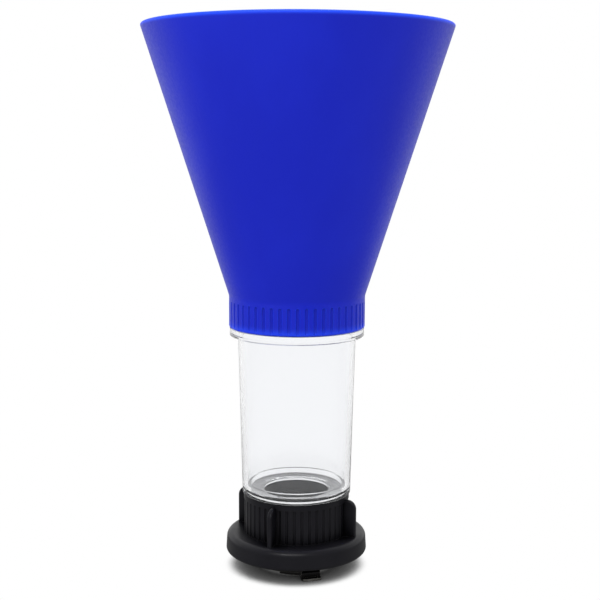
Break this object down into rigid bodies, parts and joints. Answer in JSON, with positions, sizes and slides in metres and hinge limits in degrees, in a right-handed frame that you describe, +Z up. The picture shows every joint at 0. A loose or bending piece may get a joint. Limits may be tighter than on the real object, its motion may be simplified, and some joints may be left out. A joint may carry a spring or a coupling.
{
  "type": "oil filling funnel",
  "caption": "Spill-free funnel: wide cone screwed onto a clear reservoir cup, on a winged adapter with a steel bayonet for an engine's oil filler neck.",
  "frame": {"origin": "on the ground under the bayonet's feet, on the axis that the cone, cup and adapter share", "axes": "+Z up along the axis towards the mouth, -Y to the front, with the front ear 17 degrees to the right of it"},
  "size_m": [0.153, 0.153, 0.2731],
  "materials": {
    "blue_plastic": "satin moulded plastic",
    "clear_plastic": "clear moulded plastic",
    "black_plastic": "fine moulded texture",
    "seal_rubber": "matt",
    "spring_steel": "stamped, bright",
    "rivet_steel": "plated"
  },
  "bodies": {
    "adapter": {"adapter_body": "black_plastic", "filler_gasket": "seal_rubber", "bayonet_ring": "spring_steel", "bayonet_rivets": "rivet_steel"},
    "base_seal": {"base_seal": "seal_rubber"},
    "cup": {"reservoir_cup": "clear_plastic"},
    "collar_seal": {"collar_seal": "seal_rubber"},
    "funnel": {"funnel_cone": "blue_plastic"}
  },
  "joints": [
    {"name": "cup_lift", "type": "slide", "parent": "adapter", "child": "base_seal", "axis": [0, 0, 1], "range_m": [0, 0.013]},
    {"name": "cup_screw", "type": "hinge", "parent": "base_seal", "child": "cup", "pos_m": [0, 0, 0.0388], "axis": [0, 0, 1], "range_deg": [0, 1170]},
    {"name": "funnel_lift", "type": "slide", "parent": "cup", "child": "collar_seal", "axis": [0, 0, 1], "range_m": [0, 0.011]},
    {"name": "funnel_screw", "type": "hinge", "parent": "collar_seal", "child": "funnel", "pos_m": [0, 0, 0.128], "axis": [0, 0, 1], "range_deg": [0, 990]}
  ],
  "couplings": [
    {"joint": "cup_lift", "follows": "cup_screw", "m_per_rad": 0.00063662},
    {"joint": "funnel_lift", "follows": "funnel_screw", "m_per_rad": 0.00063662}
  ]
}
